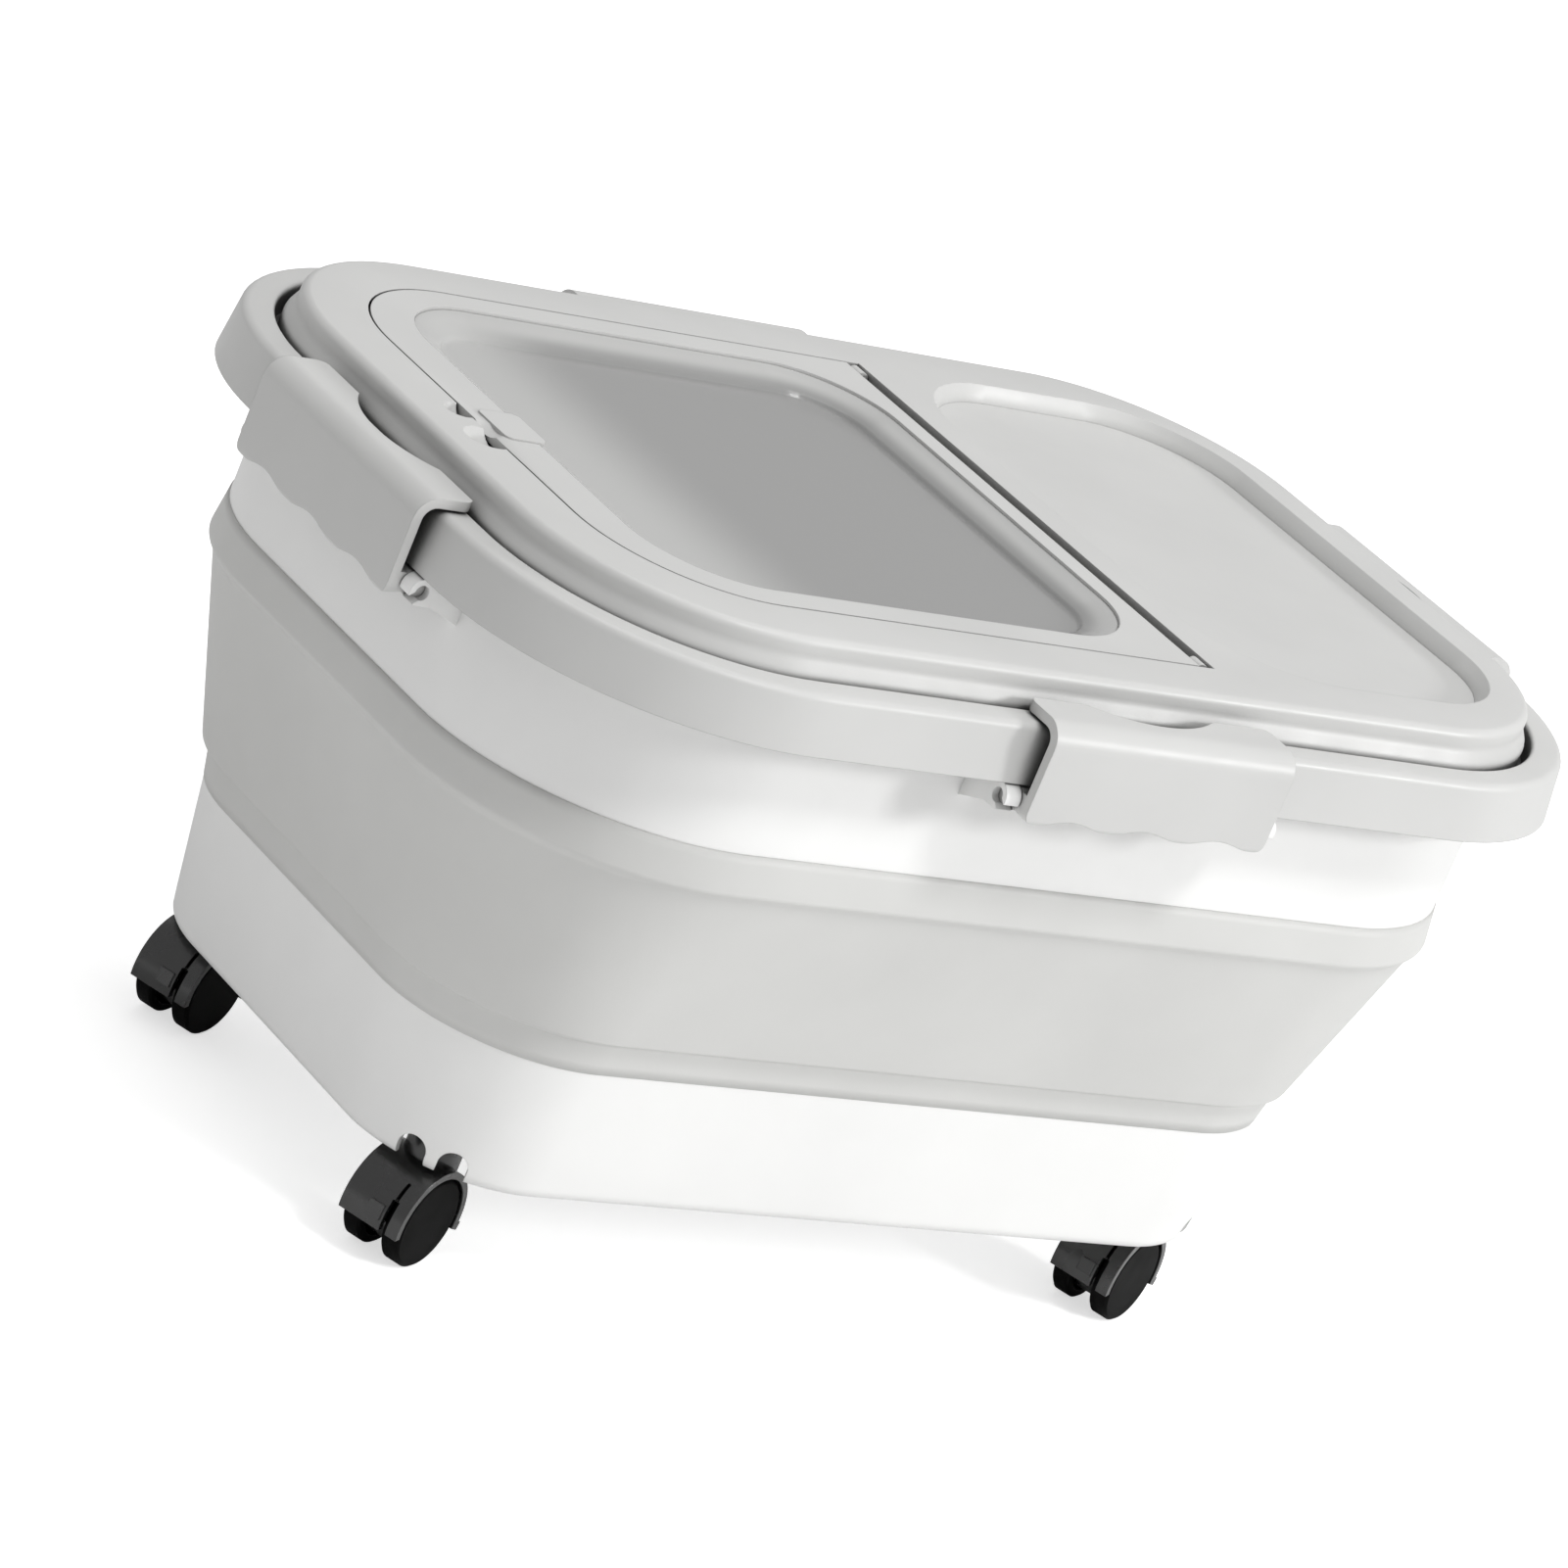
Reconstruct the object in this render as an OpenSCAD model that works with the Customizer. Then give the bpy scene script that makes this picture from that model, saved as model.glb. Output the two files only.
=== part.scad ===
// Folding rice bin on casters, with a latched lid and a flip lid over the pouring mouth.
// Millimetres. The origin is on the floor under the middle of the bin, +Z is up,
// +X runs along the length towards the plain end of the lid, and the front is at -Y.

/* [Upper frame] */
// Length of the white upper frame
frame_l = 412; // [396:1:430]
// Width of the white upper frame
frame_w = 268; // [258:1:286]
// Corner radius of the upper frame, seen from above
frame_r = 80; // [74:1:86]
// Height of the upper frame
frame_h = 50.5; // [45:0.5:62]
// Wall of the upper frame
frame_wall = 2.8; // [2.2:0.1:3.6]
// Thickness of the flange that the lid seals on
flange_t = 3.5; // [2.5:0.1:4.5]

/* [Tub] */
// Height of the tub's white wall, from its lower edge to the fold wall
tub_h = 50; // [40:1:62]
// How far the tub's upper edge stands inside the upper frame's outside
fold_inset = 25.5; // [22:0.5:30]
// How much the tub narrows on each side towards its lower edge
tub_draft = 6; // [2:0.5:9]
// Wall of the tub
tub_wall = 2.5; // [1.8:0.1:3.2]
// Height of the grain floor's underside above the tub's lower edge
tub_skirt = 11; // [10:0.5:16]
// Radius that the tub's lower edge is turned in with
tub_fillet = 5; // [3:0.5:7]
// Width of the finger notches in the tub's lower edge
notch_w = 10; // [7:0.5:11]
// Height of those notches
notch_h = 9.5; // [7:0.5:9.5]
// Angle of each notch from the corner's diagonal
notch_turn = 8.5; // [7.5:0.5:12]

/* [Fold wall] */
// Height of the soft band that grips the tub's collar
low_band_h = 13; // [8:0.5:18]
// Height of the sloping, folding part of the soft wall
slope_h = 68; // [50:1:80]
// Height of the soft band under the upper frame
high_band_h = 13; // [8:0.5:18]
// Thickness of the soft wall
fold_t = 2.6; // [1.8:0.1:3.2]
// How far the lower crease stands out from the tub's upper edge
crease_low_out = 3.3; // [2:0.1:5]
// How far the upper crease stands out from the upper frame
crease_high_out = 1.4; // [0.4:0.1:2.4]

/* [Lid] */
// How far the lid's rim stands out past the upper frame
rim_overhang = 16.5; // [14:0.5:19]
// Corner radius of the rim, seen from above
rim_r = 89.5; // [82:0.5:96]
// Height of the rim's outer skirt
skirt_h = 20; // [16:0.5:22]
// How far the skirt flares out at its lower edge
skirt_flare = 2.2; // [1:0.1:3]
// Width of the rim's top
rim_top_w = 11.5; // [10:0.5:13]
// Width of the groove inside the rim
groove_w = 2.5; // [2:0.1:4]
// Depth of that groove below the rim's top
groove_d = 9; // [7:0.5:10]
// Height of the raised plate above the rim's top
plate_rise = 11; // [9.5:0.5:14]
// Distance of the raised plate's edge from the rim's outside
plate_inset = 16.8; // [16.5:0.1:19]
// Height of the shoulder at the foot of the raised plate, above the rim's top
bead_rise = 1; // [0:0.5:2]
// Wall of the lid
lid_wall = 2.4; // [2:0.1:3]
// Height of the seal between the lid and the upper frame
seal_h = 2.1; // [1.5:0.1:3]

/* [Shallow tray] */
// Distance of the tray's long walls from the plate's edge
tray_margin = 22; // [18:0.5:30]
// Distance of the tray's end wall from the plate's edge
tray_end = 15.7; // [12:0.5:22]
// Width of the lip between the hinge slot and the tray
tray_lip = 12.5; // [9:0.5:20]
// Corner radius of the tray
tray_r = 45; // [34:1:52]
// Depth of the tray
tray_depth = 6; // [4:0.5:7]
// How far the tray's wall leans in towards its floor
tray_slope = 3; // [1:0.5:5]

/* [Flip lid] */
// Distance of the hinge axis from the bin's middle
hinge_x = 41.5; // [20:0.5:60]
// Depth of the hinge axis below the plate's top
hinge_drop = 2.5; // [2.2:0.1:3]
// Width of the hinge slot
slot_w = 6; // [5.6:0.1:8]
// Depth of the hinge slot
slot_d = 11; // [9:0.5:12]
// Distance of the flip lid's edge from the plate's edge
flip_margin = 23; // [20:0.5:28]
// Corner radius of the flip lid's free end
flip_r = 50; // [44:1:60]
// Thickness of the flip lid's frame
flip_t = 3; // [2.6:0.1:3.4]
// Gap round the flip lid
flip_gap = 0.8; // [0.6:0.1:1.2]
// Depth of the ledge that the flip lid's seal rests on
seat_depth = 5.4; // [5:0.1:6.5]
// Diameter of the hinge pins
hinge_pin_d = 2.2; // [1.8:0.1:2.6]
// Length of each hinge pin
hinge_pin_l = 14; // [10:0.5:18]
// Outer diameter of the flip lid's hinge ears
ear_d = 5; // [4.4:0.1:5]
// Width of each hinge ear
ear_w = 6; // [4:0.5:9]
// Diameter of the larger finger scoop beside the flip lid's free end
scoop_d = 16; // [12:1:20]
// Depth of the finger scoops
scoop_depth = 4; // [2:0.5:4.5]
// Length of the raised thumb pad on the flip lid
pad_l = 21; // [14:1:30]

/* [Window] */
// Width of the flip lid's frame at its free end
window_end = 17; // [14:0.5:24]
// Width of the flip lid's frame along its sides
window_side = 11; // [10:0.5:16]
// Width of the flip lid's frame beside the hinge slot
window_hinge = 8.5; // [8.5:0.5:14]
// Corner radius of the window
window_r = 36; // [28:1:44]
// Depth of the window's pane below the flip lid's top
window_depth = 6.5; // [4.5:0.5:8]
// Width of the window's sloping border
window_slope = 11; // [7:0.5:16]
// Thickness of the window
pane_t = 2; // [1.5:0.1:2.4]

/* [Latches] */
// Width of each latch
latch_w = 100; // [80:1:110]
// Thickness of a latch's plate
latch_t = 3.4; // [2.4:0.1:3.8]
// How far a latch's face stands out from the rim
latch_out = 9.5; // [8:0.5:12]
// How far a latch hooks in over the rim
latch_reach = 12.5; // [10:0.5:13]
// Gap between the latch's hook and the rim
latch_gap = 0.9; // [0.3:0.1:1.2]
// Distance of the latch axis below the skirt
pivot_drop = 5; // [4.8:0.1:8]
// Diameter of the latch's trunnions
trunnion_d = 5; // [4:0.1:5.6]
// Length of each trunnion
trunnion_l = 6; // [4:0.5:8]
// Outer diameter of the frame's C-shaped ears
cradle_d = 9.2; // [8.4:0.1:9.2]
// Mouth of those ears
cradle_mouth = 3.4; // [2.6:0.1:3.6]
// Radius of the bend between a latch's hook and its face
latch_bend = 8; // [6:0.5:9]
// Length of the finger notch in a latch's hook
thumb_l = 56; // [40:1:64]
// Depth of that finger notch
thumb_depth = 10; // [6:0.5:10.5]
// Depth of the well in the rim under it
thumb_well_d = 5; // [3:0.5:5.5]
// Number of grip arches along a latch's lower edge
arch_count = 3; // [2:1:5]
// Height of those arches
arch_h = 2.7; // [1:0.1:3.2]

/* [Casters] */
// Diameter of the caster wheels
wheel_d = 32; // [28:1:36]
// Width of each caster wheel
wheel_w = 7.2; // [5:0.1:8]
// Gap between the two wheels of a caster
wheel_gap = 8.6; // [7:0.1:10]
// Diameter of the caster stem
stem_d = 5; // [4:0.1:5.4]
// Diameter of the caster axle
axle_d = 4; // [3:0.1:5]
// Wall of the caster's hood
hood_wall = 2.4; // [1.4:0.1:2.8]
// Distance of the stems from the bin's middle, along the length
caster_x = 149; // [140:1:156]
// Distance of the stems from the bin's middle, across the width
caster_y = 74; // [66:1:80]
// How far the wheels trail behind the stem
trail = 6; // [4:0.5:7]
// Turn of the casters as they stand
caster_turn = 25; // [0:1:90]

/* [Hidden] */
$fn = 96;

// clearances
run_gap = 0.05;      // a pin in the hole that turns on it
wheel_gap_r = 0.7;   // a wheel's tread inside its hood
wheel_gap_s = 0.4;   // a wheel's side beside the hood's web
swivel_gap = 1;      // a hood under the tub
over = 1;            // how far a cut runs past the face it opens

// heights
hood_r = wheel_d / 2 + wheel_gap_r + hood_wall;
tub_z = wheel_d / 2 + hood_r + swivel_gap;
floor_z = tub_z + tub_skirt + tub_wall;
fold_z = tub_z + tub_h;
crease_low_z = fold_z + low_band_h;
crease_high_z = crease_low_z + slope_h;
frame_z = crease_high_z + high_band_h;
frame_top = frame_z + frame_h;
groove_z = frame_top + seal_h + lid_wall;
rim_z = groove_z + groove_d;
skirt_z = rim_z - skirt_h;
plate_z = rim_z + plate_rise;
bead_z = rim_z + bead_rise;

// the corner centres and the radii about them
body_cx = frame_l / 2 - frame_r;
body_cy = frame_w / 2 - frame_r;
tub_top_r = frame_r - fold_inset;
tub_low_r = tub_top_r - tub_draft;
collar_r = tub_top_r - fold_t + 0.6;
lid_cx = frame_l / 2 + rim_overhang - rim_r;
lid_cy = frame_w / 2 + rim_overhang - rim_r;
rim_in_r = rim_r - rim_top_w;
bead_r = rim_in_r - groove_w;
plate_r = rim_r - plate_inset;
plate_x = lid_cx + plate_r;
plate_y = lid_cy + plate_r;

// the flip lid, its seat, slot and window
slot_left = hinge_x - slot_w / 2;
slot_right = hinge_x + slot_w / 2;
hinge_z = plate_z - hinge_drop;
flip_left = flip_margin - plate_x;
flip_y = plate_y - flip_margin;
seat_z = plate_z - seat_depth;
window_x0 = flip_left + window_end;
window_x1 = slot_left - window_hinge;
window_y = flip_y - window_side;
window_cx = (window_x0 + window_x1) / 2;
window_ex = (window_x1 - window_x0) / 2 - window_r;
window_ey = window_y - window_r;
pane_flange = 4.5;
mouth_out = 3;
flip_seal_t = window_hinge - pane_flange - 1;
slot_y = flip_y + flip_gap;
// finger scoops beside the flip lid's free end: distance along y, share of the scoop's diameter
scoops = [[-10.5, 1], [9.5, 0.7]];
pad_rise = 0.6;

// the shallow tray
tray_x0 = slot_right + tray_lip;
tray_x1 = plate_x - tray_end;
tray_cx = (tray_x0 + tray_x1) / 2;
tray_ex = (tray_x1 - tray_x0) / 2 - tray_r;
tray_ey = plate_y - tray_margin - tray_r;

// the latches
pivot_out = rim_overhang + 0.5;
pivot_z = skirt_z - pivot_drop;
barrel_r = cradle_d / 2 - 0.3;
latch_l = 60;
hook_corner = 5;
trunnion_in = trunnion_l - 2.5;
hook_y = -latch_reach;
thumb_r = (thumb_l * thumb_l / 4 + thumb_depth * thumb_depth) / (2 * thumb_depth);
thumb_y = hook_y + thumb_depth - thumb_r;
rim_lip = 1.5;
latch_ends = [
    ["front", 0, frame_w / 2],
    ["right", 90, frame_l / 2],
    ["back", 180, frame_w / 2],
    ["left", 270, frame_l / 2]
];

// the casters
corner_signs = [["front_left", -1, -1], ["front_right", 1, -1],
                ["back_left", -1, 1], ["back_right", 1, 1]];
web_t = wheel_gap - 2 * wheel_gap_s;
wheel_face = wheel_gap / 2 + wheel_w;
wheel_rim = 3;
wheel_disc = 3.2;
core_r = wheel_d / 2 - wheel_rim - 1.5;
core_half = wheel_face - wheel_disc - 0.5;
hood_half = wheel_face + 0.2;
hood_end_back = 188;
hood_end_front = -16;
boss_d = stem_d + 8;
slit_y = 5.95;
slit_w = 1.3;
slit_foot_w = 2.7;
tab_w = 5.6;
tab_h = 5.2;
tab_rise = 0.7;
tab_root = 1.4;
collar_h = 1.2;

// ---- helpers ----

// points of an arc about c, from angle a0 to a1
function arc(c, r, a0, a1, n = 6) =
    [for (i = [0:n]) let (a = a0 + (a1 - a0) * i / n) c + r * [cos(a), sin(a)]];

// a profile (distance from the corner centre, height) carried round a rounded rectangle
module sweep(cx, cy) {
    for (i = [0:3]) {
        ax = i % 2 == 0 ? cx : cy;
        ay = i % 2 == 0 ? cy : cx;
        rotate([0, 0, 90 * i]) {
            translate([ax, ay, 0]) rotate_extrude(angle = 90) children();
            translate([ax, 0, 0]) rotate([90, 0, 0])
                linear_extrude(2 * ay, center = true) children();
        }
    }
}

// a rounded rectangle with corner centres at +-cx, +-cy
module round_rect(cx, cy, r) {
    square([2 * cx, 2 * (cy + r)], center = true);
    square([2 * (cx + r), 2 * cy], center = true);
    for (x = [-cx, cx], y = [-cy, cy]) translate([x, y]) circle(r);
}

// a rounded plate between two heights
module slab(cx, cy, r, z0, z1) {
    translate([0, 0, z0]) linear_extrude(z1 - z0) round_rect(cx, cy, r);
}

// ---- tub ----

module tub_profile() {
    lip = arc([tub_low_r - tub_fillet, tub_z + tub_fillet * sin(60)], tub_fillet, -60, 0);
    polygon(concat(lip, [
        [tub_top_r, fold_z],
        [collar_r, fold_z],
        [collar_r + crease_low_out, crease_low_z],
        [collar_r + crease_low_out - tub_wall, crease_low_z],
        [collar_r - tub_wall, fold_z],
        [tub_low_r - tub_wall - 4, floor_z],
        [tub_low_r - tub_wall - 8, floor_z - tub_wall],
        [tub_low_r - tub_wall, floor_z - tub_wall],
        [tub_low_r - tub_wall - tub_fillet / 2, tub_z]
    ]));
}

module base_tub() {
    color([0.95, 0.95, 0.94]) difference() {
        union() {
            sweep(body_cx, body_cy) tub_profile();
            slab(body_cx, body_cy, tub_low_r - tub_wall - 6, floor_z - tub_wall, floor_z);
            for (c = corner_signs)
                translate([c[1] * caster_x, c[2] * caster_y, tub_z + 0.2])
                    cylinder(d = boss_d, h = tub_skirt);
        }
        for (c = corner_signs) {
            translate([c[1] * caster_x, c[2] * caster_y, tub_z - over])
                cylinder(d = stem_d, h = tub_skirt + over - 0.5);
            corner_notches(c[1], c[2]);
        }
    }
}

// two round-topped notches either side of a corner's diagonal
module corner_notches(sx, sy) {
    straight = notch_h - notch_w / 2;
    translate([sx * body_cx, sy * body_cy, tub_z]) for (side = [-1, 1])
        rotate([0, 0, atan2(sy, sx) + side * notch_turn]) translate([tub_low_r - 16, 0, 0]) {
            translate([0, -notch_w / 2, -over]) cube([24, notch_w, straight + over]);
            translate([0, 0, straight]) rotate([0, 90, 0]) cylinder(d = notch_w, h = 24);
        }
}

// ---- fold wall ----

module fold_wall() {
    low = collar_r;
    color([0.78, 0.78, 0.77]) sweep(body_cx, body_cy) polygon([
        [low, fold_z],
        [tub_top_r + 0.2, fold_z],
        [tub_top_r + crease_low_out, crease_low_z],
        [frame_r + crease_high_out, crease_high_z],
        [frame_r + 0.4, frame_z],
        [frame_r - frame_wall, frame_z],
        [frame_r + crease_high_out - fold_t, crease_high_z],
        [tub_top_r + crease_low_out - fold_t + 0.6, crease_low_z + 1],
        [low + crease_low_out, crease_low_z]
    ]);
}

// ---- upper frame ----

module top_frame() {
    color([0.95, 0.95, 0.94]) {
        difference() {
            union() {
                sweep(body_cx, body_cy) polygon([
                    [frame_r - frame_wall, frame_z],
                    [frame_r, frame_z],
                    [frame_r, frame_top - over],
                    [frame_r - frame_wall, frame_top - over]
                ]);
                sweep(lid_cx, lid_cy) polygon([
                    [bead_r - 6, frame_top - flange_t],
                    [rim_in_r + 2, frame_top - flange_t],
                    [rim_in_r + 2, frame_top],
                    [bead_r - 6, frame_top]
                ]);
                for (e = latch_ends) at_side(e) cradles();
            }
            for (e = latch_ends) at_side(e) cradle_cuts();
        }
    }
}

// places a latch's frame: x along the latch, y out of the bin, origin on its axis
module at_side(e) {
    rotate([0, 0, e[1]]) translate([0, -e[2] - pivot_out, pivot_z])
        rotate([0, 0, 180]) children();
}

module cradles() {
    for (side = [-1, 1]) translate([side * (latch_w / 2 + 0.5 + trunnion_l / 2), 0, 0]) {
        rotate([0, 90, 0]) cylinder(d = cradle_d, h = trunnion_l, center = true);
        translate([-trunnion_l / 2, -pivot_out - over, -cradle_d / 2])
            cube([trunnion_l, pivot_out + over, cradle_d]);
        translate([-trunnion_l / 2, -pivot_out - over, -cradle_d / 2 - 5])
            rotate([90, 0, 90]) linear_extrude(trunnion_l)
                polygon([[0, 0], [0, 6], [pivot_out - 3, 5.4]]);
    }
}

module cradle_cuts() {
    bore = trunnion_d + 2 * run_gap;
    for (side = [-1, 1]) translate([side * (latch_w / 2 + 0.5 + trunnion_l / 2), 0, 0]) {
        rotate([0, 90, 0]) cylinder(d = bore, h = trunnion_l + 2 * over, center = true);
        rotate([-40, 0, 0]) translate([-trunnion_l / 2 - over, 0, -cradle_mouth / 2])
            cube([trunnion_l + 2 * over, cradle_d, cradle_mouth]);
    }
}

// ---- lid ----

module rim_profile() {
    w = lid_wall;
    foot = [for (i = [0:8]) let (t = i / 8)
        [bead_r - (bead_r - plate_r) * (1 - cos(180 * t)) / 2,
         bead_z - 2.5 + t * (plate_rise - bead_rise - 3)]];
    polygon(concat(
        [[rim_r + skirt_flare, skirt_z]],
        arc([rim_r - 3, rim_z - 3], 3, 0, 90),
        arc([rim_in_r + 1.5, rim_z - 1.5], 1.5, 90, 180, 4),
        [[rim_in_r, groove_z], [bead_r, groove_z]],
        foot,
        arc([plate_r - 3, plate_z - 3], 3, 0, 90),
        [[plate_r - 5, plate_z], [plate_r - 5, plate_z - w],
         [plate_r - w, plate_z - w]],
        [for (i = [8:-1:0]) foot[i] - [w, w / 3]],
        [[bead_r - w, groove_z - w],
         [rim_in_r + w, groove_z - w], [rim_in_r + w, rim_z - w],
         [rim_r - w, rim_z - w], [rim_r + skirt_flare - w, skirt_z]]
    ));
}

// the flip lid's outline, grown by g: rounded at its free end, square at the hinge
module flip_outline(g) {
    r = flip_r + g;
    x0 = flip_left + flip_r;
    intersection() {
        union() {
            translate([x0, -flip_y - g]) square([slot_left - x0 + 20, 2 * (flip_y + g)]);
            translate([x0 - r, -flip_y + flip_r]) square([r, 2 * (flip_y - flip_r)]);
            for (y = [-1, 1]) translate([x0, y * (flip_y - flip_r)]) circle(r);
        }
        translate([flip_left - 20, -flip_y - 20])
            square([slot_left - flip_left + 20, 2 * flip_y + 40]);
    }
}

module window_slab(g, z0, z1) {
    translate([window_cx, 0, 0]) slab(window_ex, window_ey, window_r + g, z0, z1);
}

// the finger well in the rim under a latch's notch, grown by g, between two heights
module thumb_well(g, z0, z1) {
    inner = rim_top_w + 0.5 - rim_lip + g;
    translate([0, 0, z0 - pivot_z]) linear_extrude(z1 - z0) intersection() {
        translate([0, thumb_y]) circle(thumb_r + g);
        translate([-thumb_l, -inner]) square([2 * thumb_l, inner - 1]);
    }
}

// the lid's block that holds a hinge pin beyond each end of the slot
module pin_block(y) {
    translate([slot_left - 1, y * slot_y, hinge_z - 3.5])
        mirror([0, y < 0 ? 1 : 0, 0])
            cube([slot_w + 2, hinge_pin_l - ear_w + 2, hinge_drop + 3.5 - over]);
}

module main_lid() {
    well_z = rim_z - thumb_well_d;
    color([0.83, 0.83, 0.82]) difference() {
        union() {
            sweep(lid_cx, lid_cy) rim_profile();
            slab(lid_cx, lid_cy, plate_r - 4, plate_z - lid_wall, plate_z);
            translate([0, 0, seat_z - lid_wall]) linear_extrude(seat_depth)
                flip_outline(flip_gap + lid_wall);
            translate([slot_left - lid_wall, -slot_y - lid_wall, plate_z - slot_d - lid_wall])
                cube([slot_w + 2 * lid_wall, 2 * (slot_y + lid_wall), slot_d]);
            translate([tray_cx, 0, 0]) slab(tray_ex, tray_ey, tray_r + lid_wall,
                plate_z - tray_depth - lid_wall, plate_z - over);
            window_slab(mouth_out + lid_wall, seat_z - lid_wall - 4, seat_z - over);
            for (y = [-1, 1]) pin_block(y);
            for (e = latch_ends) at_side(e)
                thumb_well(rim_lip, well_z - lid_wall, rim_z - 2 * over);
            for (c = scoops)
                translate([flip_left - c[1] * 4, c[0], plate_z - scoop_depth - lid_wall])
                    cylinder(d = c[1] * scoop_d + 2 * lid_wall, h = scoop_depth + lid_wall - over);
        }
        for (e = latch_ends) at_side(e) thumb_well(0, well_z, rim_z + over);
        translate([0, 0, seat_z]) linear_extrude(seat_depth + over) flip_outline(flip_gap);
        window_slab(mouth_out, seat_z - 20, seat_z + over);
        translate([slot_left, -slot_y, plate_z - slot_d])
            cube([slot_w, 2 * slot_y, slot_d + over]);
        difference() {
            translate([tray_cx, 0, 0])
                slab(tray_ex, tray_ey, tray_r, plate_z - tray_depth, plate_z + over);
            translate([tray_cx, 0, 0]) sweep(tray_ex, tray_ey) polygon([
                [tray_r - tray_slope, plate_z - tray_depth - over],
                [tray_r + over, plate_z - tray_depth - over],
                [tray_r + over, plate_z],
                [tray_r, plate_z],
                [tray_r - tray_slope, plate_z - tray_depth + 0.5]
            ]);
        }
        for (y = [-1, 1]) translate([hinge_x, y * (slot_y - over), hinge_z])
            rotate([-90 * y, 0, 0]) cylinder(d = hinge_pin_d, h = hinge_pin_l - ear_w + over);
        for (c = scoops) translate([flip_left - c[1] * 4, c[0], 0])
            dish(c[1] * scoop_d, scoop_depth);
    }
}

// a ball that cuts a dish of a diameter and depth into the plate's top
module dish(d, depth) {
    ball = (d * d / 4 + depth * depth) / (2 * depth);
    translate([0, 0, plate_z - depth + ball]) sphere(ball);
}

module lid_seal() {
    color([0.75, 0.75, 0.74]) sweep(lid_cx, lid_cy) translate([bead_r - 1, frame_top])
        square([rim_in_r - bead_r + 2, seal_h]);
}

// ---- flip lid ----

module flip_lid() {
    ear_y = flip_y - 1.3 - ear_w;
    color([0.83, 0.83, 0.82]) difference() {
        union() {
            translate([0, 0, plate_z - flip_t]) linear_extrude(flip_t) flip_outline(0);
            for (y = [-1, 1]) translate([hinge_x, y * (ear_y + ear_w / 2), hinge_z])
                hinge_ear();
        }
        window_slab(0, plate_z - flip_t - over, plate_z + over);
        translate([flip_left - 1, -3, 0]) dish(scoop_d - 2, flip_t - 1.2);
        for (y = [-1, 1]) translate([hinge_x, y * (ear_y + ear_w / 2), hinge_z])
            rotate([90, 0, 0])
                cylinder(d = hinge_pin_d + 2 * run_gap, h = ear_w + 2 * over, center = true);
    }
    color([0.83, 0.83, 0.82]) thumb_pad();
}

// the raised pad at the free end, which reaches over the window's edge
module thumb_pad() {
    translate([flip_left + 4.5, 1 - pad_l / 2, plate_z - 0.8]) {
        translate([0, 3, 0]) cube([window_end - 1, pad_l - 6, 0.8 + pad_rise]);
        translate([3, 0, 0]) cube([window_end - 7, pad_l, 0.8 + pad_rise]);
        for (x = [3, window_end - 4], y = [3, pad_l - 3])
            translate([x, y, 0]) cylinder(r = 3, h = 0.8 + pad_rise);
    }
}

module hinge_ear() {
    rotate([90, 0, 0]) cylinder(d = ear_d, h = ear_w, center = true);
    translate([-slot_w / 2 - 2, -ear_w / 2, -ear_d / 2]) cube([slot_w / 2 + 2, ear_w, ear_d / 2]);
}

module flip_window() {
    top = plate_z - flip_t;
    low = plate_z - window_depth;
    color([0.62, 0.63, 0.63, 0.5]) {
        translate([window_cx, 0, 0]) sweep(window_ex, window_ey) polygon([
            [window_r + pane_flange, top - pane_t],
            [window_r + pane_flange, top],
            [window_r - 0.05, top],
            [window_r - 0.05, plate_z - 1],
            [window_r - 1.2, plate_z - 1],
            [window_r - window_slope, low + 1.5],
            [window_r - window_slope - 1, low],
            [window_r - window_slope - 2, low],
            [window_r - window_slope - 2, low - pane_t],
            [window_r - window_slope, low - pane_t],
            [window_r - 2, top - pane_t]
        ]);
        window_slab(-window_slope - 1.5, low - pane_t, low);
    }
}

module flip_seal() {
    color([0.75, 0.75, 0.74]) translate([window_cx, 0, 0]) sweep(window_ex, window_ey)
        translate([window_r + pane_flange + 0.5, seat_z])
            square([flip_seal_t, plate_z - flip_t - seat_z]);
}

module flip_hinge_pins() {
    inner = flip_y - 1.3 - ear_w;
    color([0.7, 0.7, 0.72]) for (y = [-1, 1]) translate([hinge_x, y * inner, hinge_z])
        rotate([-90 * y, 0, 0]) cylinder(d = hinge_pin_d, h = hinge_pin_l);
}

// ---- latches ----

// side view of a latch: x out of the bin from the axis, y up from the axis
module latch_profile() {
    face = latch_out - 0.5;
    hook_z = rim_z + latch_gap - pivot_z;
    top = hook_z + latch_t;
    foot = -barrel_r - 1;
    inner = face - latch_t;
    bend = [face - latch_bend, top - latch_bend];
    polygon(concat(
        arc([face - 1.6, foot + 1.6], 1.6, -90, 0, 4),
        arc(bend, latch_bend, 0, 90, 9),
        arc([hook_y + 1.2, top - 1.2], 1.2, 90, 180, 4),
        [[hook_y, hook_z + 0.6], [hook_y + 0.6, hook_z]],
        arc(bend, latch_bend - latch_t, 90, 0, 6),
        [[inner, barrel_r - 1], [0, barrel_r - 1], [0, -barrel_r + 1], [inner, foot + 1]]
    ));
    circle(barrel_r);
}

// front view of a latch: rounded ends, and grip arches between lobes along its lower edge
module latch_outline() {
    foot = -barrel_r - 1;
    half = latch_w / 2;
    end = 4;
    pitch = (latch_w - 2 * end) / arch_count;
    steps = 14 * arch_count;
    polygon(concat(
        arc([-half + end, foot + end], end, 180, 270, 5),
        [for (i = [1:steps - 1]) let (x = i / steps * (latch_w - 2 * end))
            [x - half + end, foot + arch_h * pow((1 - cos(360 * x / pitch)) / 2, 0.8)]],
        arc([half - end, foot + end], end, 270, 360, 5),
        [[half, latch_l], [-half, latch_l]]
    ));
}

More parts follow.
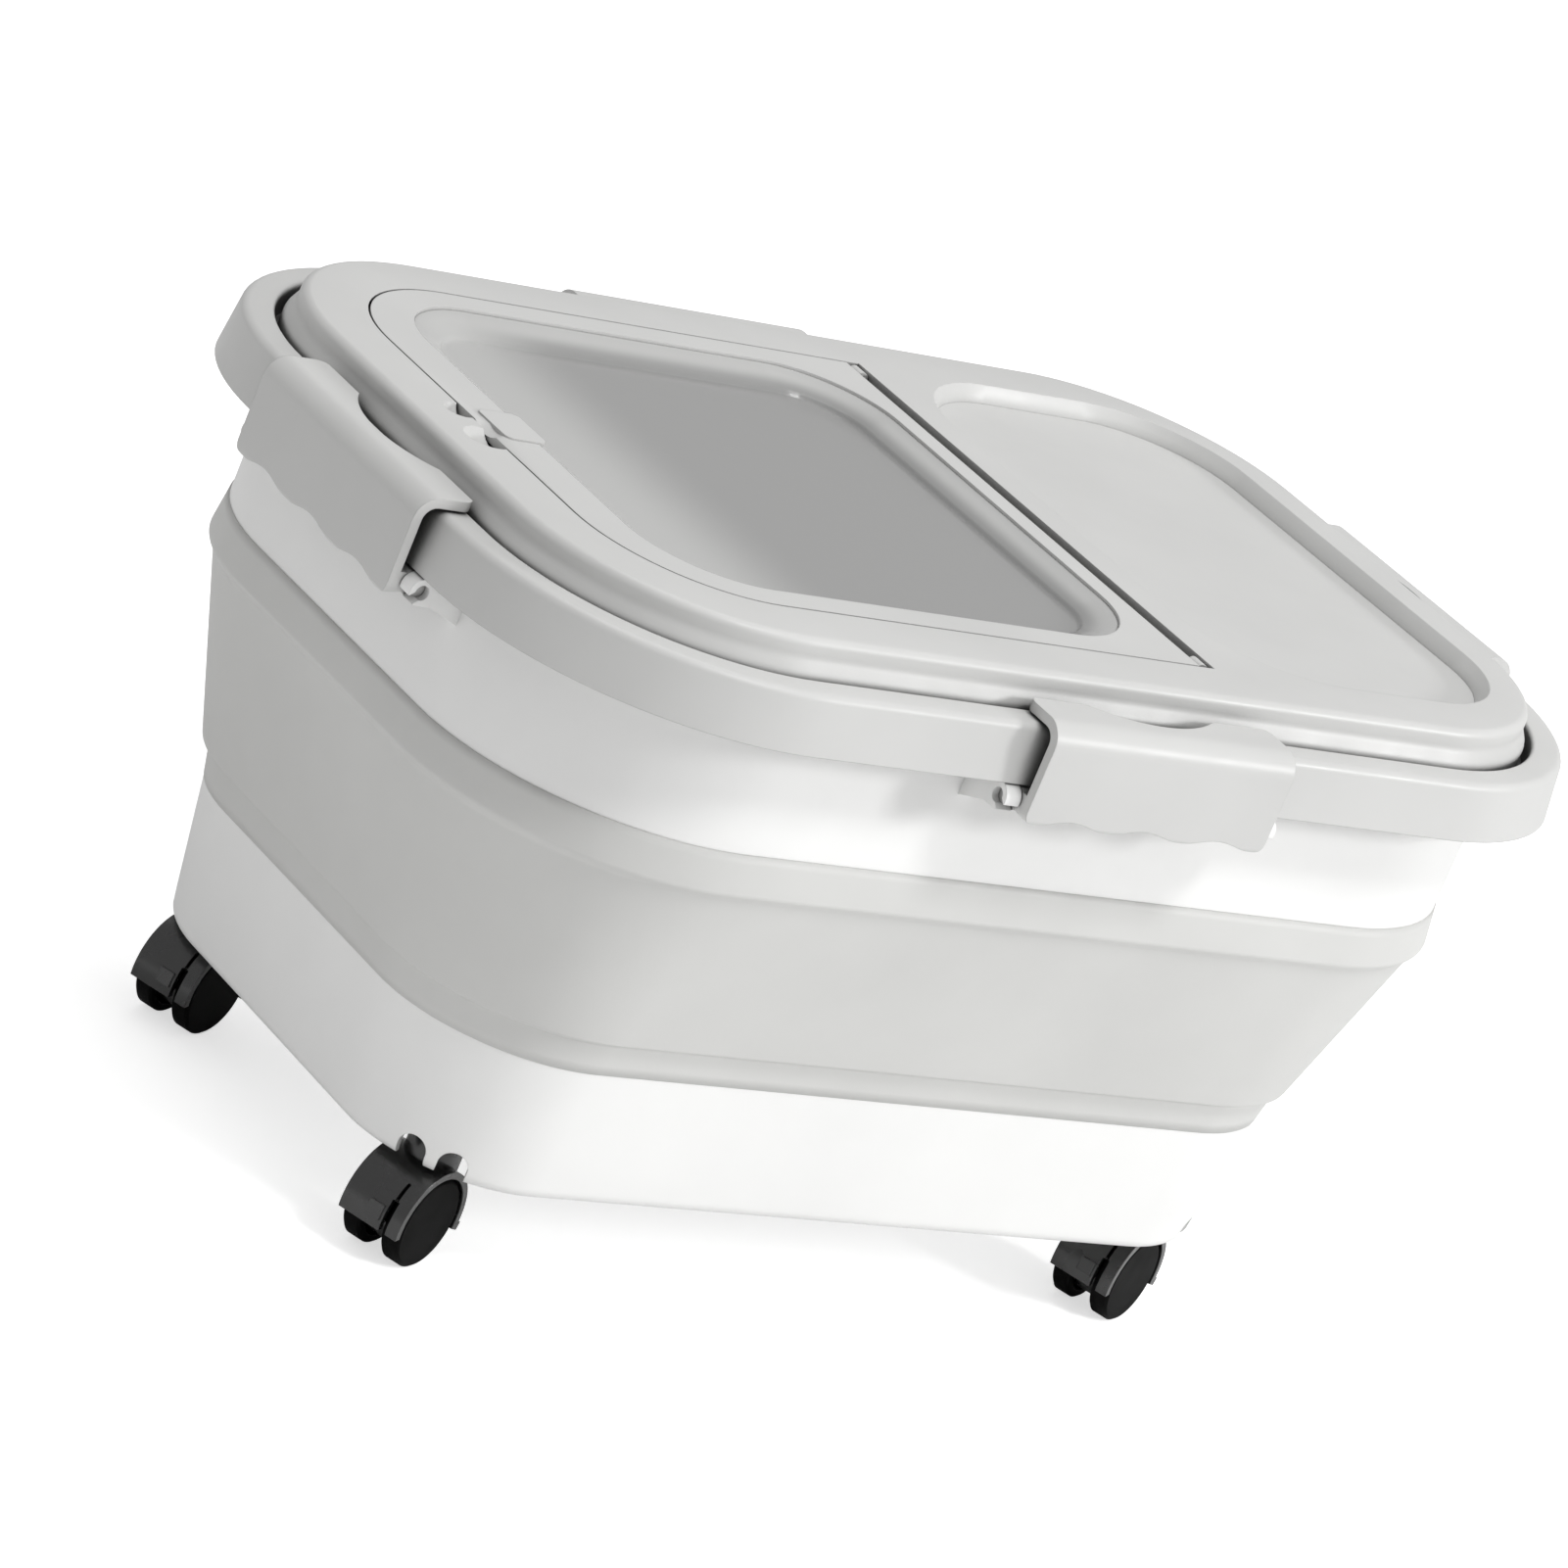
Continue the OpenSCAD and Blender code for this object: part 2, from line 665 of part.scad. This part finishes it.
module latch() {
    hook_z = rim_z + latch_gap - pivot_z;
    color([0.83, 0.83, 0.82]) {
        difference() {
            intersection() {
                rotate([90, 0, 90]) linear_extrude(latch_w, center = true) latch_profile();
                union() {
                    rotate([90, 0, 0]) translate([0, 0, -20])
                        linear_extrude(18) latch_outline();
                    translate([-latch_w / 2, -30, -latch_l]) cube([latch_w, 32, 2 * latch_l]);
                }
            }
            translate([0, thumb_y, hook_z - over]) cylinder(r = thumb_r, h = latch_t + 2 * over);
            for (side = [-1, 1]) translate([side * latch_w / 2, hook_y, hook_z - over])
                mirror([side > 0 ? 1 : 0, 0, 0]) corner_cut(hook_corner, latch_t + 2 * over);
        }
        rotate([0, 90, 0])
            cylinder(d = trunnion_d, h = latch_w + 1 + 2 * trunnion_in, center = true);
    }
}

// what rounds off a corner that lies towards +x and +y from the origin
module corner_cut(r, h) {
    difference() {
        translate([-over, -over, 0]) cube([r + over, r + over, h]);
        translate([r, r, -over]) cylinder(r = r, h = h + 2 * over);
    }
}

// ---- casters ----

// places a caster's frame: x ahead of the stem, y along the axle, origin under the stem
module at_caster(c) {
    translate([c[1] * caster_x, c[2] * caster_y, 0]) rotate([0, 0, caster_turn]) children();
}

module stem() {
    color([0.55, 0.55, 0.57]) {
        translate([0, 0, wheel_d / 2 - 6]) cylinder(d = stem_d, h = tub_z + tub_skirt - 1
            - wheel_d / 2 + 6);
        translate([0, 0, tub_z + 0.2 - collar_h + 0.2])
            cylinder(d = stem_d + 4, h = collar_h - 0.2);
    }
}

module hood() {
    color([0.08, 0.08, 0.08]) difference() {
        union() {
            translate([-trail, 0, wheel_d / 2]) rotate([90, 0, 0]) {
                linear_extrude(2 * hood_half, center = true) hood_arc();
                linear_extrude(web_t, center = true) hood_web();
                cylinder(r = core_r, h = 2 * core_half, center = true);
            }
        }
        translate([0, 0, wheel_d / 2 - 6.5]) cylinder(d = stem_d + 2 * run_gap, h = 60);
        translate([-trail, 0, wheel_d / 2]) rotate([90, 0, 0])
            cylinder(d = axle_d, h = 3 * hood_half, center = true);
        hood_slot();
    }
    color([0.08, 0.08, 0.08]) hood_tab();
}

// side view of the hood's shell, about the wheel's centre
module hood_arc() {
    difference() {
        union() {
            circle(hood_r);
            rotate(hood_end_front) translate([hood_r - hood_wall - 0.2, -1])
                square([hood_wall + 1.2, 4]);
        }
        circle(hood_r - hood_wall);
        polygon([[0, 0], 40 * [cos(hood_end_back), sin(hood_end_back)], [-40, -60], [40, -60],
                 40 * [cos(hood_end_front), sin(hood_end_front)]]);
    }
}

module hood_web() {
    difference() {
        circle(hood_r - hood_wall / 2);
        polygon([[-core_r, 0], [-60, -10], [0, -60], [60, -10], [core_r, 0], [0, -core_r / 2]]);
    }
}

// places a block at an angle above the wheel's centre, its x pointing out of the hood
module on_hood(a) {
    translate([-trail, 0, wheel_d / 2]) rotate([0, -a, 0]) translate([hood_r, 0, 0]) children();
}

// a slit up the back of the hood that widens towards its lower end
module hood_slot() {
    on_hood(150) translate([-hood_wall - 1, -slit_y - slit_w / 2, -6])
        cube([hood_wall + 3, slit_w, 12]);
    on_hood(178) translate([-hood_wall - 1.5, -slit_y - slit_foot_w / 2, -8])
        cube([hood_wall + 4, slit_foot_w, 13]);
}

// the raised pad beside the slit
module hood_tab() {
    on_hood(170) translate([-tab_root, -0.9 - tab_w / 2, -tab_h / 2])
        cube([tab_root + tab_rise, tab_w, tab_h]);
}

module axle() {
    color([0.6, 0.6, 0.62]) translate([-trail, 0, wheel_d / 2]) rotate([90, 0, 0])
        cylinder(d = axle_d, h = 2 * (wheel_face - 1), center = true);
}

// a wheel on the +y side of its hood; side is 1 or -1
module wheel(side) {
    face = wheel_face;
    inside = wheel_gap / 2;
    r = wheel_d / 2;
    color([0.06, 0.06, 0.06]) translate([-trail, 0, wheel_d / 2])
        rotate([-90 * side, 0, 0]) difference() {
            rotate_extrude() polygon([
                [0, face - wheel_disc], [r - wheel_rim, face - wheel_disc],
                [r - wheel_rim, inside], [r - 0.8, inside], [r, inside + 0.8],
                [r, face - 1], [r - 1, face], [0, face]
            ]);
            translate([0, 0, face - wheel_disc - over])
                cylinder(d = axle_d + 2 * run_gap, h = wheel_disc + over - 0.8);
        }
}

// ---- drawing ----

base_tub();
fold_wall();
top_frame();
main_lid();
lid_seal();
flip_lid();
flip_window();
flip_seal();
flip_hinge_pins();
for (e = latch_ends)
    at_side(e) latch();
for (c = corner_signs) {
    at_caster(c) stem();
    at_caster(c) hood();
    at_caster(c) axle();
    at_caster(c) wheel(1);
    at_caster(c) wheel(-1);
}
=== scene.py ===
import math
import bpy
import bmesh
from mathutils import Matrix, Vector


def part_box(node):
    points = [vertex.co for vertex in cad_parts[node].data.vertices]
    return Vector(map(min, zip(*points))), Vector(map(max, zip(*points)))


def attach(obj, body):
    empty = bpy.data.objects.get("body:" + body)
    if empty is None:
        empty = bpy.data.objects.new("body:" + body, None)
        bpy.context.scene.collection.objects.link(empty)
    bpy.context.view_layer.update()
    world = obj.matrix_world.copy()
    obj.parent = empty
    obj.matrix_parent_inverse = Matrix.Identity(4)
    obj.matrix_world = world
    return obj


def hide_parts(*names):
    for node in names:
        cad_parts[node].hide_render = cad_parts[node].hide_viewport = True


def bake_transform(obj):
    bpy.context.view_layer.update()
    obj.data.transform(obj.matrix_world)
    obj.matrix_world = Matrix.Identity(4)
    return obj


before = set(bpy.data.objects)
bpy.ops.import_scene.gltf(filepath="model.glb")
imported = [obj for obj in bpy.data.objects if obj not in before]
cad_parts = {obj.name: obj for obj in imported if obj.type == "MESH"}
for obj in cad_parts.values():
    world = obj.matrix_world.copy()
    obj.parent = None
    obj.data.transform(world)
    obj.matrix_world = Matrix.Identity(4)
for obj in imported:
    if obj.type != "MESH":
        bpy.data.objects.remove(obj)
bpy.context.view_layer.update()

scene = bpy.context.scene
mm = 0.001
CORNERS = ("front_left", "front_right", "back_left", "back_right")
SIDES = ("front", "back", "left", "right")
MIX_A, MIX_B, MIX_RESULT = 6, 7, 2    # a Mix node's sockets for colours
NOISE_LOW, NOISE_HIGH = 0.3, 0.7      # the range that a noise node mostly keeps to


# ---- materials ----

def material(name, colour, rough, grain=0.0, grain_scale=900.0, tint=0.03, edge=0.0006,
             rough_swing=0.08, painted_shade_share=0.45, reach=0.016, sockets=()):
    """A moulded surface: faint cloudy tint, uneven gloss, fine grain and softened edges.
    Narrow recesses, up to reach deep, get painted shade: their colour darkens to the given share
    of itself."""
    mat = bpy.data.materials.new(name)
    mat.use_nodes = True
    nodes, links = mat.node_tree.nodes, mat.node_tree.links
    shader = nodes["Principled BSDF"]
    for key, value in sockets:
        shader.inputs[key].default_value = value
    coords = nodes.new("ShaderNodeTexCoord")

    def noise(scale, detail=3.0):
        n = nodes.new("ShaderNodeTexNoise")
        n.inputs["Scale"].default_value = scale
        n.inputs["Detail"].default_value = detail
        links.new(coords.outputs["Object"], n.inputs["Vector"])
        return n.outputs["Fac"]

    def spread(source, low, high):
        n = nodes.new("ShaderNodeMapRange")
        n.inputs["From Min"].default_value = NOISE_LOW
        n.inputs["From Max"].default_value = NOISE_HIGH
        n.inputs["To Min"].default_value = low
        n.inputs["To Max"].default_value = high
        links.new(source, n.inputs["Value"])
        return n.outputs["Result"]

    ramp = nodes.new("ShaderNodeValToRGB")
    ramp.color_ramp.elements[0].position = NOISE_LOW
    ramp.color_ramp.elements[1].position = NOISE_HIGH
    ramp.color_ramp.elements[0].color = [c * (1 - tint) for c in colour] + [1]
    ramp.color_ramp.elements[1].color = [min(c * (1 + tint), 1) for c in colour] + [1]
    links.new(noise(14.0), ramp.inputs["Fac"])
    # painted shade: ambient occlusion darkens the colour in creases, hollows and gaps between
    # parts
    painted_shade_ao = nodes.new("ShaderNodeAmbientOcclusion")
    painted_shade_ao.samples = 6
    painted_shade_ao.inputs["Distance"].default_value = reach
    links.new(ramp.outputs["Color"], painted_shade_ao.inputs["Color"])
    share = nodes.new("ShaderNodeMapRange")
    share.interpolation_type = "SMOOTHSTEP"
    share.inputs["From Min"].default_value = 0.10
    share.inputs["From Max"].default_value = 0.70
    share.inputs["To Min"].default_value = painted_shade_share
    links.new(painted_shade_ao.outputs["AO"], share.inputs["Value"])
    shaded = nodes.new("ShaderNodeMix")
    shaded.data_type = "RGBA"
    shaded.blend_type = "MULTIPLY"
    shaded.inputs["Factor"].default_value = 1.0
    links.new(ramp.outputs["Color"], shaded.inputs[MIX_A])
    links.new(share.outputs["Result"], shaded.inputs[MIX_B])
    links.new(shaded.outputs[MIX_RESULT], shader.inputs["Base Color"])
    links.new(spread(noise(60.0), rough - rough_swing / 2, rough + rough_swing / 2),
              shader.inputs["Roughness"])
    bump = nodes.new("ShaderNodeBump")
    bump.inputs["Strength"].default_value = grain
    bump.inputs["Distance"].default_value = 0.0001
    links.new(noise(grain_scale, 2.0), bump.inputs["Height"])
    if edge:
        bevel = nodes.new("ShaderNodeBevel")
        bevel.samples = 6
        bevel.inputs["Radius"].default_value = edge
        links.new(bevel.outputs["Normal"], bump.inputs["Normal"])
    links.new(bump.outputs["Normal"], shader.inputs["Normal"])
    return mat


# Each material's painted shade in hollows darkens its colour down to the share set here.
WHITE = material("white_moulding", (0.95, 0.95, 0.94), 0.42, 0.10, painted_shade_share=0.50)
GREY = material("grey_moulding", (0.64, 0.64, 0.63), 0.40, 0.12, painted_shade_share=0.12)
SOFT = material("soft_grey", (0.68, 0.68, 0.665), 0.52, 0.18, 700.0, painted_shade_share=0.30, reach=0.010)
SEAL = material("seal_rubber", (0.50, 0.50, 0.49), 0.6, 0.2)
WINDOW = material("smoky_window", (0.40, 0.405, 0.40), 0.16, 0.02, 300.0, edge=0.0016,
                  sockets=[("Transmission Weight", 0.15), ("IOR", 1.49), ("Coat Weight", 0.3),
                           ("Coat Roughness", 0.08)])
HOOD = material("black_hood", (0.016, 0.016, 0.016), 0.27, 0.10, 1200.0, tint=0.15,
                sockets=[("Specular IOR Level", 0.7), ("Coat Weight", 0.5),
                         ("Coat Roughness", 0.16)])
WHEEL = material("black_wheel", (0.004, 0.004, 0.004), 0.50, 0.25, 1500.0, tint=0.2,
                 sockets=[("Specular IOR Level", 0.05)])
STEEL = material("zinc_steel", (0.58, 0.58, 0.60), 0.30, 0.10, 1800.0,
                 sockets=[("Metallic", 1.0)])

FINISH = {"base_tub": WHITE, "top_frame": WHITE, "fold_wall": SOFT, "main_lid": GREY,
          "lid_seal": SEAL, "flip_lid": GREY, "flip_window": WINDOW, "flip_seal": SEAL,
          "flip_hinge_pins": STEEL}
FINISH.update({f"latch_{s}": GREY for s in SIDES})
for corner in CORNERS:
    FINISH[f"stem_{corner}"] = FINISH[f"axle_{corner}"] = STEEL
    FINISH[f"hood_{corner}"] = HOOD
    FINISH[f"inner_wheel_{corner}"] = FINISH[f"outer_wheel_{corner}"] = WHEEL


def smoothing(degrees):
    """A modifier's node group that joins the faces and shades them smooth below an angle."""
    group = bpy.data.node_groups.new("smooth_below_angle", "GeometryNodeTree")
    group.interface.new_socket("Geometry", in_out="INPUT", socket_type="NodeSocketGeometry")
    group.interface.new_socket("Geometry", in_out="OUTPUT", socket_type="NodeSocketGeometry")
    nodes, links = group.nodes, group.links
    source, out = nodes.new("NodeGroupInput"), nodes.new("NodeGroupOutput")
    weld = nodes.new("GeometryNodeMergeByDistance")
    weld.inputs["Distance"].default_value = 0.000002
    smooth = nodes.new("GeometryNodeSetShadeSmooth")
    sharp = nodes.new("GeometryNodeSetShadeSmooth")
    sharp.domain = "EDGE"
    sharp.inputs["Shade Smooth"].default_value = False
    angle = nodes.new("GeometryNodeInputMeshEdgeAngle")
    above = nodes.new("FunctionNodeCompare")
    above.data_type = "FLOAT"
    above.operation = "GREATER_THAN"
    above.inputs[1].default_value = math.radians(degrees)
    links.new(source.outputs[0], weld.inputs[0])
    links.new(weld.outputs[0], smooth.inputs[0])
    links.new(smooth.outputs[0], sharp.inputs[0])
    links.new(angle.outputs["Unsigned Angle"], above.inputs[0])
    links.new(above.outputs[0], sharp.inputs["Selection"])
    links.new(sharp.outputs[0], out.inputs[0])
    return group


def window_tint_and_painted_light(mat, pane, wall, painted_left_light, low, high, left, right):
    """Recolours the window: a smoky pane, painted reflection that lightens it to the left, and
    painted light that makes the walls round it lighter.
    """
    nodes, links = mat.node_tree.nodes, mat.node_tree.links
    coords = nodes.new("ShaderNodeTexCoord")
    axes = nodes.new("ShaderNodeSeparateXYZ")
    links.new(coords.outputs["Object"], axes.inputs[0])

    def blend(source, start, end, a, b):
        span = nodes.new("ShaderNodeMapRange")
        span.interpolation_type = "SMOOTHERSTEP"
        span.inputs["From Min"].default_value = start
        span.inputs["From Max"].default_value = end
        links.new(source, span.inputs["Value"])
        mix = nodes.new("ShaderNodeMix")
        mix.data_type = "RGBA"
        for socket, colour in ((mix.inputs[MIX_A], a), (mix.inputs[MIX_B], b)):
            if isinstance(colour, tuple):
                socket.default_value = (*colour, 1)
            else:
                links.new(colour, socket)
        links.new(span.outputs["Result"], mix.inputs["Factor"])
        return mix.outputs[MIX_RESULT]

    # painted reflection: the pane's colour lightens towards its left end
    across = blend(axes.outputs["X"], left, right, painted_left_light, pane)
    # painted light: the walls above the pane's floor are lighter than the pane
    links.new(blend(axes.outputs["Z"], low, high, across, wall),
              nodes["Principled BSDF"].inputs["Base Color"])


window_low, window_high = (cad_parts["flip_window"].matrix_world.inverted() @ corner
                           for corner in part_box("flip_window"))
# The pane colour is the window's smoky tint; the wall colour is painted light and the left colour
# is painted reflection.
window_tint_and_painted_light(WINDOW, pane=(0.37, 0.37, 0.365), wall=(0.62, 0.62, 0.61), painted_left_light=(0.62, 0.62, 0.61),
      low=window_low.z + 0.0035, high=window_high.z - 0.001,
      left=window_low.x + 0.02, right=window_low.x + 0.085)

SMOOTH = smoothing(32)
for name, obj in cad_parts.items():
    obj.data.materials.clear()
    obj.data.materials.append(FINISH[name])
    obj.modifiers.new("smooth", "NODES").node_group = SMOOTH


# ---- fold wall ----

def swept_ring(name, profile, cx, cy, arc_steps=32, side_steps=24):
    """A closed profile of (distance from the corner centre, height), in metres, carried round
    a rounded rectangle with corner centres at +-cx, +-cy."""
    path = []
    for turn in range(4):
        a0 = math.pi / 2 * turn
        sx, sy = ((1, 1), (-1, 1), (-1, -1), (1, -1))[turn]
        here = Vector((sx * cx, sy * cy))
        for i in range(arc_steps + 1):
            a = a0 + math.pi / 2 * i / arc_steps
            path.append((here, Vector((math.cos(a), math.sin(a)))))
        nx, ny = ((-1, 1), (-1, -1), (1, -1), (1, 1))[turn]
        there = Vector((nx * cx, ny * cy))
        out = path[-1][1]
        path += [(here.lerp(there, i / side_steps), out) for i in range(1, side_steps)]
    bm = bmesh.new()
    rings = [[bm.verts.new((c.x + r * d.x, c.y + r * d.y, z)) for r, z in profile]
             for c, d in path]
    for i, ring in enumerate(rings):
        after = rings[(i + 1) % len(rings)]
        for j in range(len(profile)):
            k = (j + 1) % len(profile)
            bm.faces.new((ring[j], after[j], after[k], ring[k]))
    bmesh.ops.recalc_face_normals(bm, faces=bm.faces)
    mesh = bpy.data.meshes.new(name)
    bm.to_mesh(mesh)
    bm.free()
    mesh.shade_smooth()
    obj = bpy.data.objects.new(name, mesh)
    scene.collection.objects.link(obj)
    return obj


def rounded(points, radii, steps=6):
    """Points of a closed outline, each corner rounded by its radius."""
    out = []
    for i, p in enumerate(points):
        p = Vector(p)
        a = Vector(points[i - 1])
        b = Vector(points[(i + 1) % len(points)])
        r = radii[i]
        u, v = (a - p), (b - p)
        if not r:
            out.append(tuple(p))
            continue
        half = u.angle(v) / 2
        cut = min(r / math.tan(half), 0.45 * u.length, 0.45 * v.length)
        s, e = p + u.normalized() * cut, p + v.normalized() * cut
        for k in range(steps + 1):
            t = k / steps
            out.append(tuple((1 - t) ** 2 * s + 2 * t * (1 - t) * p + t ** 2 * e))
    return out


def split_long(points, longest):
    """Adds points along the long sides of a closed outline."""
    out = []
    for i, p in enumerate(points):
        p, q = Vector(p), Vector(points[(i + 1) % len(points)])
        n = max(1, math.ceil((q - p).length / longest))
        out += [tuple(p.lerp(q, k / n)) for k in range(n)]
    return out


fold_low, fold_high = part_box("fold_wall")
low_z, high_z = fold_low.z, fold_high.z
crease_reach = 13 * mm                # from either end of the wall to its crease
crease_low, crease_high = low_z + crease_reach, high_z - crease_reach
corner_x, corner_y = 126 * mm, 54 * mm
# (distance from the corner centre, height), up the outside and down the inside
outline = [(52.5 * mm, low_z), (54.7 * mm, low_z), (57.0 * mm, crease_low - 1.2 * mm),
           (60.1 * mm, crease_low + 0.5 * mm), (79.7 * mm, crease_high - 3.4 * mm),
           (82.4 * mm, crease_high - 0.6 * mm), (80.5 * mm, high_z), (77.2 * mm, high_z),
           (76.6 * mm, crease_high), (55.8 * mm, crease_low + 2.4 * mm),
           (54.4 * mm, crease_low)]
radii = [0, 0, 0.5 * mm, 1.6 * mm, 3.5 * mm, 2.2 * mm, 0, 0, 7 * mm, 1 * mm, 0]
wall = swept_ring("fold_wall_skin", split_long(rounded(outline, radii), 4 * mm),
                  corner_x, corner_y)
wall.data.materials.append(SOFT)
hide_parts("fold_wall")
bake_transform(wall)


# ---- hood necks ----

def hood_neck(corner, reach=8 * mm, outer=9.5 * mm, inner=7 * mm, shell=1.2 * mm, steps=72):
    """The black cup that a hood holds round the tub's boss, reach up into the tub. Its foot
    follows the middle of the hood's shell."""
    stem, axle = ((low + high) / 2 for low, high in
                  (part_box(f"stem_{corner}"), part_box(f"axle_{corner}")))
    behind = (axle - stem).to_2d()
    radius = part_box(f"hood_{corner}")[1].z - axle.z - shell
    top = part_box("base_tub")[0].z + reach
    bm = bmesh.new()
    rings = []
    for i in range(steps):
        out = Vector((math.cos(2 * math.pi * i / steps), math.sin(2 * math.pi * i / steps)))
        ring = []
        for r, at_top in ((outer, False), (outer, True), (inner, True), (inner, False)):
            along = (r * out).dot(behind.normalized()) - behind.length
            z = top if at_top else axle.z + math.sqrt(radius ** 2 - along ** 2)
            ring.append(bm.verts.new((stem.x + r * out.x, stem.y + r * out.y, z)))
        rings.append(ring)
    for i, ring in enumerate(rings):
        after = rings[(i + 1) % steps]
        for j in range(4):
            k = (j + 1) % 4
            bm.faces.new((ring[j], after[j], after[k], ring[k]))
    bmesh.ops.recalc_face_normals(bm, faces=bm.faces)
    mesh = bpy.data.meshes.new(f"neck_{corner}")
    bm.to_mesh(mesh)
    bm.free()
    obj = bpy.data.objects.new(f"neck_{corner}", mesh)
    scene.collection.objects.link(obj)
    obj.modifiers.new("smooth", "NODES").node_group = SMOOTH
    obj.data.materials.append(HOOD)
    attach(obj, f"{corner}_caster")


for corner in CORNERS:
    hood_neck(corner)


# ---- camera ----

camera = bpy.data.objects.new("camera", bpy.data.cameras.new("camera"))
scene.collection.objects.link(camera)
scene.camera = camera
camera.data.sensor_width = 36
camera.data.lens = 178.93
camera.data.clip_end = 100
forward = Vector((0.6177, 0.7167, -0.3236)).normalized()
level = forward.cross(Vector((0, 0, 1))).normalized()
raised = level.cross(forward)
roll = math.radians(22.83)
right = level * math.cos(roll) + raised * math.sin(roll)
up = raised * math.cos(roll) - level * math.sin(roll)
camera.matrix_world = Matrix.Translation((-1.60944, -1.85697, 0.98365)) @ Matrix(
    (right, up, -forward)).transposed().to_4x4()


# ---- floor and light ----

def plain(name, colour, glow):
    """A pale diffuse surface that the camera sees brightened by glow."""
    mat = bpy.data.materials.new(name)
    mat.use_nodes = True
    nodes, links = mat.node_tree.nodes, mat.node_tree.links
    nodes.clear()
    out = nodes.new("ShaderNodeOutputMaterial")
    diffuse = nodes.new("ShaderNodeBsdfDiffuse")
    diffuse.inputs["Color"].default_value = (*colour, 1)
    emit = nodes.new("ShaderNodeEmission")
    ray = nodes.new("ShaderNodeLightPath")
    scale = nodes.new("ShaderNodeMath")
    scale.operation = "MULTIPLY"
    scale.inputs[1].default_value = glow
    add = nodes.new("ShaderNodeAddShader")
    links.new(ray.outputs["Is Camera Ray"], scale.inputs[0])
    links.new(scale.outputs[0], emit.inputs["Strength"])
    links.new(diffuse.outputs[0], add.inputs[0])
    links.new(emit.outputs[0], add.inputs[1])
    links.new(add.outputs[0], out.inputs["Surface"])
    return mat


bpy.ops.mesh.primitive_plane_add(size=40, location=(0, 0, 0))
floor = bpy.context.object
floor.name = "floor"
floor.data.materials.append(plain("pale_floor", (0.86, 0.86, 0.86), 0.62))

world = bpy.data.worlds.new("studio")
scene.world = world
world.use_nodes = True
nodes, links = world.node_tree.nodes, world.node_tree.links
back = nodes["Background"]
back.inputs["Color"].default_value = (1, 1, 1, 1)
ray = nodes.new("ShaderNodeLightPath")
mix = nodes.new("ShaderNodeMix")
mix.data_type = "FLOAT"
mix.inputs["A"].default_value = 0.475
mix.inputs["B"].default_value = 1.0
links.new(ray.outputs["Is Camera Ray"], mix.inputs["Factor"])
links.new(mix.outputs[0], back.inputs["Strength"])


def softbox(name, place, size, watts):
    lamp = bpy.data.lights.new(name, "AREA")
    lamp.shape = "RECTANGLE"
    lamp.size, lamp.size_y = size
    lamp.energy = watts
    obj = bpy.data.objects.new(name, lamp)
    obj.location = place
    obj.rotation_euler = (Vector((0, 0, 0.14)) - Vector(place)).to_track_quat("-Z", "Y").to_euler()
    scene.collection.objects.link(obj)


softbox("key_softbox", (2.2, -2.05, 1.35), (0.5, 0.5), 36)
softbox("high_softbox", (0.35, -1.65, 2.6), (0.7, 0.5), 26)
softbox("top_softbox", (0.2, 0.3, 2.6), (1.8, 1.4), 13)

scene.view_settings.view_transform = "Standard"
